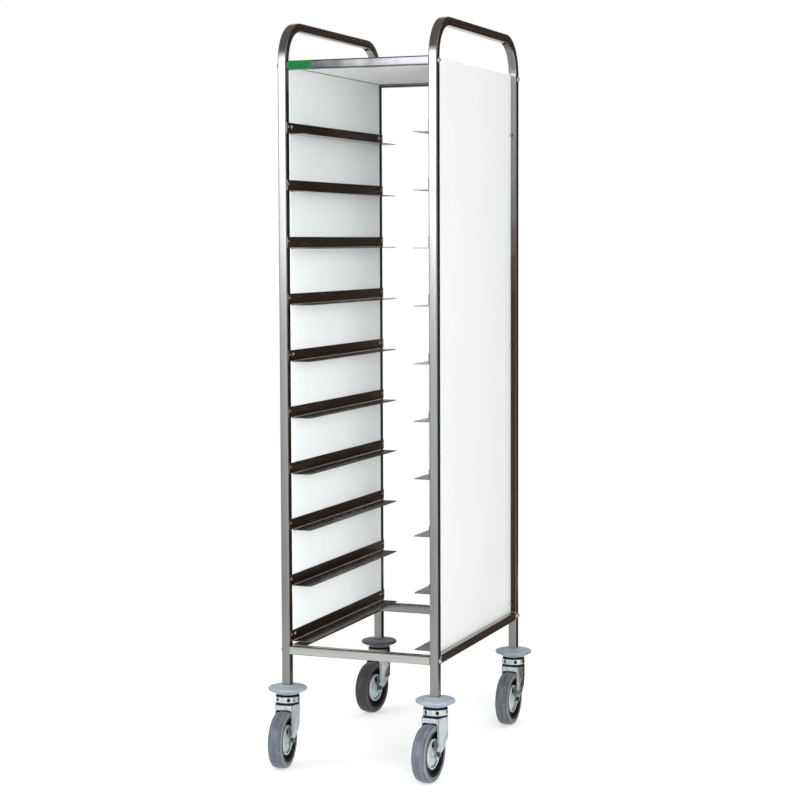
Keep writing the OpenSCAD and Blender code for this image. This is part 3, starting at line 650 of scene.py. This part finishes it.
def tubeRunAttribute(piece):
    # distance along the bent tube for the grain, with the place across the wall
    mesh = piece.data
    run = mesh.attributes.new("tubeRun", "FLOAT_VECTOR", "POINT")
    for vertex in mesh.vertices:
        x, y, z = vertex.co
        if z <= bendZ:
            side = -1 if y < middleY else 1
            across, along = (y - (frontY if side < 0 else rearY)) * -side, z
        elif abs(y - middleY) > (rearY - frontY) / 2 - bendRadius:
            side = -1 if y < middleY else 1
            centre = frontY + bendRadius if side < 0 else rearY - bendRadius
            radius = math.hypot(y - centre, z - bendZ)
            turn = math.atan2(z - bendZ, (y - centre) * side)
            across, along = radius - bendRadius, bendZ + turn * (bendRadius - tubeSide / 2)
        else:
            across, along = z - handleZ, bendZ + math.pi / 2 * (bendRadius - tubeSide / 2) + abs(y - middleY)
        run.data[vertex.index].vector = (x, across, along)


railSteels = {"left_bottom_rail": sideSteel, "right_bottom_rail": sideSteel,
              "front_top_rail": shadedTopRailSteel, "rear_top_rail": shadedRearTopSteel,
              "front_bottom_rail": litLowRailSteel, "rear_bottom_rail": crossSteel}
for name in ("left_hoop", "right_hoop"):
    tubeRunAttribute(dressNode(name, [frameSteel], "frame_steel", angle=40))
for name, steel in railSteels.items():
    dressNode(name, [steel], "frame_steel", angle=40)

runners = {"levels": 10, "bevel": 0.00035, "foldStart": 0.0012, "foldEnd": 0.0031,
           "shelfSteels": {"left": leftShelfSteel, "right": litRightShelfSteel}}


def runnerPaint(face):
    # painted highlight: the hollow of the fold is painted as a thin light line; the shelf has its own copy of the
    # steel, painted darker on the left and lighter on the right
    middle = face.calc_center_median()
    inward = -face.normal.x * (1 if middle.x > 0 else -1)
    depth = innerX - abs(middle.x)
    if inward > 0.1 and face.normal.z > 0.1 and runners["foldStart"] < depth < runners["foldEnd"]:
        return 1
    return 2 if abs(face.normal.z) > 0.9 else 0


for level in range(1, runners["levels"] + 1):
    for side, shelfSteel in runners["shelfSteels"].items():
        dressNode("%s_runner_%02d" % (side, level), [shadedRunnerSteel, foldHighlightSteel, shelfSteel], "runner_steel",
                  bevel=runners["bevel"], paint=runnerPaint)
print("stage: frame and runners dressed")

welds = {"beadRadius": 0.0015, "pitch": 0.0021, "inset": 0.0004}
washers = {"radius": 0.0074, "thickness": 0.0009, "bevel": 0.0002}


def addWelds(name, side, w):
    # rows of small beads round both ends of a lower side rail
    bm = bmesh.new()
    half = tubeSide / 2 - w["inset"]
    count = int(2 * half / w["pitch"])
    for end in (-1, 1):
        y = frontY + tubeSide if end < 0 else rearY - tubeSide
        for quarter in range(4):
            turn = Matrix.Rotation(quarter * math.pi / 2, 4, "Y")
            for k in range(count):
                spot = turn @ Vector((half, 0, -half + (k + 0.5) * 2 * half / count))
                place = Vector((side * postX, y, lowRailZ + tubeSide / 2)) + spot
                bead = Matrix.Translation(place) @ Matrix.Diagonal((1, 1.15, 1, 1))
                bmesh.ops.create_icosphere(bm, subdivisions=2, radius=w["beadRadius"], matrix=bead)
    sharpenByAngle(bm, 60)
    pieceFromMesh(bm, name, "frame", [fastenerSteel])


def addWashers(name, w):
    bm = bmesh.new()
    for side in (-1, 1):
        for y in (frontY + tubeSide / 2, rearY - tubeSide / 2):
            for z in (lowRailZ + tubeSide / 2, railTopZ - tubeSide / 2):
                place = Vector((side * (outerX + w["thickness"] / 2), y, z))
                disc = Matrix.Translation(place) @ Matrix.Rotation(math.pi / 2, 4, "Y")
                bmesh.ops.create_cone(bm, cap_ends=True, segments=48, radius1=w["radius"],
                                      radius2=w["radius"], depth=w["thickness"], matrix=disc)
    sharpenByAngle(bm, 40)
    addBevel(pieceFromMesh(bm, name, "frame", [washerSteel]), w["bevel"])


addWelds("leftWelds", -1, welds)
addWelds("rightWelds", 1, welds)
addWashers("boltWashers", washers)


label = {"rim": 0.0011, "step": 0.0002, "leastField": 0.0005, "bevel": 0.0002}
panelFinish = {"bevel": 0.0008, "segments": 3}
boardFinish = {"bevel": 0.001, "segments": 3}


def labelRim(bm):
    # a flat rim round the face of the plate, with the field a little lower
    front = [f for f in bm.faces if f.normal.y < -0.9]
    bmesh.ops.inset_region(bm, faces=front, thickness=label["rim"], depth=0.0)
    field = [f for f in bm.faces if f.normal.y < -0.9 and f.calc_area() > label["leastField"]]
    bmesh.ops.inset_region(bm, faces=field, thickness=label["step"], depth=-label["step"])


dressNode("left_panel", [leftLaminate], "white_laminate", **panelFinish)
dressNode("right_panel", [shadedRightLaminate], "white_laminate", **panelFinish)
dressNode("top_board", [boardLaminate], "white_laminate", **boardFinish)
dressNode("label_plate", [greenEnamel], "label_green", bevel=label["bevel"], reshape=labelRim)
for name in ("frame_bolts", "panel_screws", "runner_rivets"):
    dressNode(name, [fastenerSteel], "fastener_steel", angle=40, flatten=False)
dressNode("board_dowels", [beech], "dowel_wood", bevel=0.0004)
print("stage: panels and fasteners dressed")


# casters; slack is how far a face may lie from where it is looked for
casterSizes = {"ringLow": 0.1422, "ringTop": 0.1549, "ringRadius": 0.0275, "ringLip": 0.003,
               "legInside": 0.0185, "crownLow": 0.135, "discRadius": 0.033, "sidewall": (0.044, 0.0515),
               "beadRadius": 0.0495, "slack": 0.0004}
rollJoints = {j["child"]: j for j in frame["joints"] if j["name"].endswith("_roll")}


def axleLine(corner):
    joint = rollJoints[corner + "_wheel"]
    return Vector(joint["pos_m"]), Vector(joint["axis"]).normalized()


def postLine(corner):
    side = -1 if corner.endswith("left") else 1
    y = frontY + tubeSide / 2 if corner.startswith("front") else rearY - tubeSide / 2
    return Vector((side * postX, y, footZ)), Vector((0, 0, 1))


def offAxis(point, centre, axis):
    arm = point - centre
    return (arm - axis * arm.dot(axis)).length


def turnedAttributes(piece, centre, axis):
    # radius and place along the axis, and the direction round it: first to the front, then up
    mesh = piece.data
    place = mesh.attributes.new("turnedPlace", "FLOAT_VECTOR", "POINT")
    angle = mesh.attributes.new("turnedAngle", "FLOAT_VECTOR", "POINT")
    front = axis.cross(Vector((0, 0, 1))) if abs(axis.z) < 0.5 else Vector((0, -1, 0))
    front.normalize()
    up = front.cross(axis)
    for vertex in mesh.vertices:
        arm = vertex.co - centre
        along = arm.dot(axis)
        flat = arm - axis * along
        radius = max(flat.length, 0.000001)
        place.data[vertex.index].vector = (radius, along, 0)
        angle.data[vertex.index].vector = (flat.dot(front) / radius, flat.dot(up) / radius, 0)


def swivelPaint(corner, s):
    # painted shade: black below and above the bright ring and in the marks pressed into it
    line = postLine(corner)

    def choose(face):
        middle = face.calc_center_median()
        if middle.z < s["ringLow"] or middle.z > s["ringTop"]:
            return 1
        pressed = offAxis(middle, *line) < s["ringRadius"] - s["slack"]
        return 1 if pressed and middle.z < s["ringTop"] - s["ringLip"] else 0
    return choose


def forkPaint(corner, s):
    # the faces inside the fork lie in its shade
    centre, axis = axleLine(corner)

    def choose(face):
        middle = face.calc_center_median()
        off = (middle - centre).dot(axis)
        inward = face.normal.dot(axis) * (1 if off > 0 else -1) < -0.5
        under = face.normal.z < -0.5 and abs(middle.z - s["crownLow"]) < 2 * s["slack"]
        return 1 if under or (inward and abs(off) < s["legInside"] + s["slack"]) else 0
    return choose


def splitSidewall(corner, s):
    # rings cut into the broad band of the sidewall, so that its inner part can be painted black as shade
    line = axleLine(corner)

    def crosses(edge):
        low, high = s["sidewall"]
        ends = [offAxis(v.co, *line) for v in edge.verts]
        return min(ends) < low and max(ends) > high

    def cut(bm):
        bmesh.ops.subdivide_edges(bm, edges=[e for e in bm.edges if crosses(e)], cuts=2, use_grid_fill=True)
    return cut


def tyrePaint(corner, s):
    # painted shade: the sidewall is painted black inside its bead
    line = axleLine(corner)

    def choose(face):
        return 1 if offAxis(face.calc_center_median(), *line) < s["beadRadius"] else 0
    return choose


def hubPaint(corner, s):
    # painted shade: the deep ring outside the pressed disc is painted black
    line = axleLine(corner)

    def choose(face):
        return 1 if offAxis(face.calc_center_median(), *line) > s["discRadius"] + s["slack"] / 2 else 0
    return choose


for corner in cornerShading:
    bumper = dressNode(corner + "_bumper", [bumperRubber[corner]], "bumper_rubber", angle=45, flatten=False)
    turnedAttributes(bumper, *postLine(corner))
    # painted shade: the rear left swivel ring gets the dark plate
    ringPlate = dullAndShadedPlate if corner == "rear_left" else zincPlate
    dressNode(corner + "_swivel_head", [ringPlate, paintedShadeBlack], "zinc_steel", angle=40, flatten=False,
              paint=swivelPaint(corner, casterSizes))
    dressNode(corner + "_fork", [forkPlate, paintedShadeBlack], "zinc_steel", bevel=0.0005, angle=40,
              paint=forkPaint(corner, casterSizes))
    dressNode(corner + "_axle", [dullAndShadedPlate], "zinc_steel", bevel=0.0004, angle=40)
    tyre = dressNode(corner + "_tyre", [tyreRubber[corner], paintedShadeBlack], "tyre_rubber", angle=50,
                     flatten=False, paint=tyrePaint(corner, casterSizes),
                     reshape=splitSidewall(corner, casterSizes))
    turnedAttributes(tyre, *axleLine(corner))
    hub = dressNode(corner + "_hub", [hubPlate, paintedShadeBlack], "hub_metal", angle=50, flatten=False,
                    paint=hubPaint(corner, casterSizes))
    turnedAttributes(hub, *axleLine(corner))
print("stage: casters dressed")


# floor, light and camera
studio = {
    "floorSize": 14.0, "floorColour": (0.88, 0.88, 0.88), "floorGlow": 0.33,
    "frontAmbient": 1.05, "sideAmbient": 0.42, "ambientColour": (0.965, 1.0, 1.0),
    "key": {"place": (2.4, -4.0, 1.2), "size": 2.4, "power": 170.0, "colour": (1.0, 1.0, 0.99)},
    "side": {"place": (-3.2, -2.6, 1.9), "size": 2.4, "power": 50.0, "colour": (0.93, 1.0, 1.0)},
    "top": {"place": (0.3, 0.4, 4.2), "size": 3.0, "power": 20.0, "colour": (1.0, 1.0, 1.0)},
    "low": {"place": (1.9, -3.4, 0.45), "size": 1.2, "power": 50.0, "colour": (1.0, 1.0, 1.0)},
}

# cards that only shiny surfaces see: brightness against height, one colour each
cards = {
    "backCard": {"place": (1.12, 2.1, 1.6), "width": 1.8, "height": 3.4, "colour": (1.0, 0.70, 0.56),
                 "stops": ((0.0, 0.09), (0.5, 0.06), (1.0, 0.10))},
    "backLeftCard": {"place": (-0.95, 2.1, 0.55), "width": 1.3, "height": 1.2, "colour": (1.0, 0.70, 0.56),
                     "stops": ((0.0, 0.07), (1.0, 0.07))},
    "floorCard": {"place": (0.75, 1.35, 0.004), "width": 2.4, "height": 1.6, "flat": True,
                  "colour": (1.0, 0.70, 0.56), "stops": ((0.0, 0.09), (1.0, 0.09))},
    "leftCard": {"place": (-2.3, -0.2, 1.2), "width": 1.6, "height": 2.6, "colour": (1.0, 0.80, 0.70),
                 "stops": ((0.0, 0.20), (1.0, 0.20))},
    "sideCard": {"place": (2.6, 0.9, 1.2), "width": 1.6, "height": 2.4, "colour": (1.0, 0.80, 0.70),
                 "stops": ((0.0, 0.25), (1.0, 0.25))},
    "frontCard": {"place": (-0.75, -2.0, 1.3), "width": 1.5, "height": 2.6, "colour": (0.97, 1.0, 1.0),
                  "stops": ((0.0, 0.70), (0.12, 0.90), (0.26, 1.15), (0.38, 1.4), (0.44, 2.1), (0.50, 3.6),
                            (0.73, 4.9), (0.80, 3.2), (0.88, 1.7), (1.0, 0.6)), "tilt": (-0.71, 0.40)},
    "ceilingCard": {"place": (0.0, -0.6, 3.0), "width": 5.0, "height": 5.0, "flat": True,
                    "colour": (1.0, 0.90, 0.84), "stops": ((0.0, 0.26), (1.0, 0.26))},
}


def startStage(name, bm):
    mesh = bpy.data.meshes.new(name)
    bm.to_mesh(mesh)
    bm.free()
    material = bpy.data.materials.new(name)
    material.use_nodes = True
    tree = material.node_tree
    tree.nodes.remove(tree.nodes["Principled BSDF"])
    mesh.materials.append(material)
    thing = bpy.data.objects.new(name, mesh)
    scene.collection.objects.link(thing)
    return thing, tree, tree.nodes["Material Output"].inputs["Surface"]


def seenAsBackground(tree):
    seen = addNode(tree, "LightPath").outputs
    return addMath(tree, "MAXIMUM", seen["Is Camera Ray"],
                   addMath(tree, "MAXIMUM", seen["Is Glossy Ray"], seen["Is Transmission Ray"]))


def addFloor(s):
    bm = bmesh.new()
    bmesh.ops.create_grid(bm, x_segments=1, y_segments=1, size=s["floorSize"])
    _, tree, surface = startStage("floor", bm)
    distance = addNode(tree, "VectorMath", {0: objectPlace(tree)}, operation="LENGTH").outputs["Value"]
    camera = addNode(tree, "LightPath").outputs["Is Camera Ray"]
    white = seenAsBackground(tree)
    far = fade(tree, distance, 0.7, 1.8)
    diffuse = addNode(tree, "BsdfDiffuse", {"Color": (*s["floorColour"], 1)})
    glow = addNode(tree, "Emission", {"Strength": addMath(tree, "MULTIPLY", camera, s["floorGlow"])})
    lit = addNode(tree, "AddShader", {0: diffuse.outputs[0], 1: glow.outputs[0]})
    plain = addNode(tree, "Emission", {"Strength": 1.0})
    mixed = addNode(tree, "MixShader", {0: addMath(tree, "MULTIPLY", white, far),
                                        1: lit.outputs[0], 2: plain.outputs[0]})
    tree.links.new(mixed.outputs[0], surface)


def addWorld(s):
    world = bpy.data.worlds.new("studio")
    scene.world = world
    world.use_nodes = True
    tree = world.node_tree
    background = tree.nodes["Background"]
    seen = seenAsBackground(tree)
    tree.links.new(mixColour(tree, seen, s["ambientColour"], (1.0, 1.0, 1.0)), background.inputs["Color"])
    towards = parts(tree, addNode(tree, "TexCoord").outputs["Generated"])
    level = addRange(tree, addMath(tree, "ABSOLUTE", towards["Y"]), 0.1, 0.95,
                     s["sideAmbient"], s["frontAmbient"], True)
    strength = addNode(tree, "Mix", {0: seen, 2: level, 3: 1.0}, data_type="FLOAT").outputs[0]
    tree.links.new(strength, background.inputs["Strength"])


def addLamp(name, values, aim=(0, 0, 0.8)):
    data = bpy.data.lights.new(name, "AREA")
    data.shape, data.size = "SQUARE", values["size"]
    data.energy, data.color = values["power"], values["colour"]
    lamp = bpy.data.objects.new(name, data)
    lamp.location = values["place"]
    lamp.rotation_euler = (Vector(aim) - lamp.location).to_track_quat("-Z", "Y").to_euler()
    lamp.visible_glossy = False
    scene.collection.objects.link(lamp)


def addCard(name, c, aim=(0, 0, 1.0)):
    place = Vector(c["place"])
    towards = Vector((aim[0] - place.x, aim[1] - place.y, 0))
    turn = Matrix.Identity(4) if c.get("flat") else towards.to_track_quat("Z", "Y").to_matrix().to_4x4()
    bm = bmesh.new()
    bmesh.ops.create_grid(bm, x_segments=1, y_segments=1, size=0.5)
    bmesh.ops.scale(bm, vec=(c["width"], c["height"], 1), verts=bm.verts)
    bmesh.ops.transform(bm, matrix=Matrix.Translation(place) @ turn, verts=bm.verts)
    card, tree, surface = startStage(name, bm)
    where = parts(tree, objectPlace(tree))
    height = addRange(tree, where["Z"], place.z - c["height"] / 2, place.z + c["height"] / 2, 0, 1)
    most = max(value for at, value in c["stops"])
    strength = addRamp(tree, height, [(at, value / most) for at, value in c["stops"]])
    if "tilt" in c:  # brighter to one side
        middle, slope = c["tilt"]
        factor = addRange(tree, where["X"], middle - 1.0, middle + 1.0, 1.0 - slope, 1.0 + slope)
        strength = addMath(tree, "MULTIPLY", strength, factor)
    glow = addNode(tree, "Emission", {"Color": (*c["colour"], 1),
                                      "Strength": addMath(tree, "MULTIPLY", strength, most)})
    tree.links.new(glow.outputs[0], surface)
    card.visible_camera = card.visible_diffuse = card.visible_shadow = card.visible_transmission = False


addFloor(studio)
addWorld(studio)
for lampName in ("key", "side", "top", "low"):
    addLamp(lampName, studio[lampName])
for cardName, card in cards.items():
    addCard(cardName, card)

camera = {"place": (1.6460, -4.2900, 1.1746), "yaw": 20.992, "pitch": 3.761, "roll": -0.194,
          "sensor": 36, "imagePixels": 800, "focalPixels": 1988.7, "shiftPixels": -28}


def addCamera(c):
    yaw, pitch, roll = (math.radians(c[k]) for k in ("yaw", "pitch", "roll"))
    data = bpy.data.cameras.new("camera")
    data.sensor_width = c["sensor"]
    data.lens = c["focalPixels"] / c["imagePixels"] * c["sensor"]
    data.shift_y = c["shiftPixels"] / c["imagePixels"]
    view = bpy.data.objects.new("camera", data)
    turn = Matrix.Rotation(yaw, 4, "Z") @ Matrix.Rotation(math.pi / 2 - pitch, 4, "X")
    view.matrix_world = Matrix.Translation(c["place"]) @ turn @ Matrix.Rotation(roll, 4, "Z")
    scene.collection.objects.link(view)
    scene.camera = view


addCamera(camera)
scene.view_settings.view_transform = "Standard"
print("stage: studio and camera set")
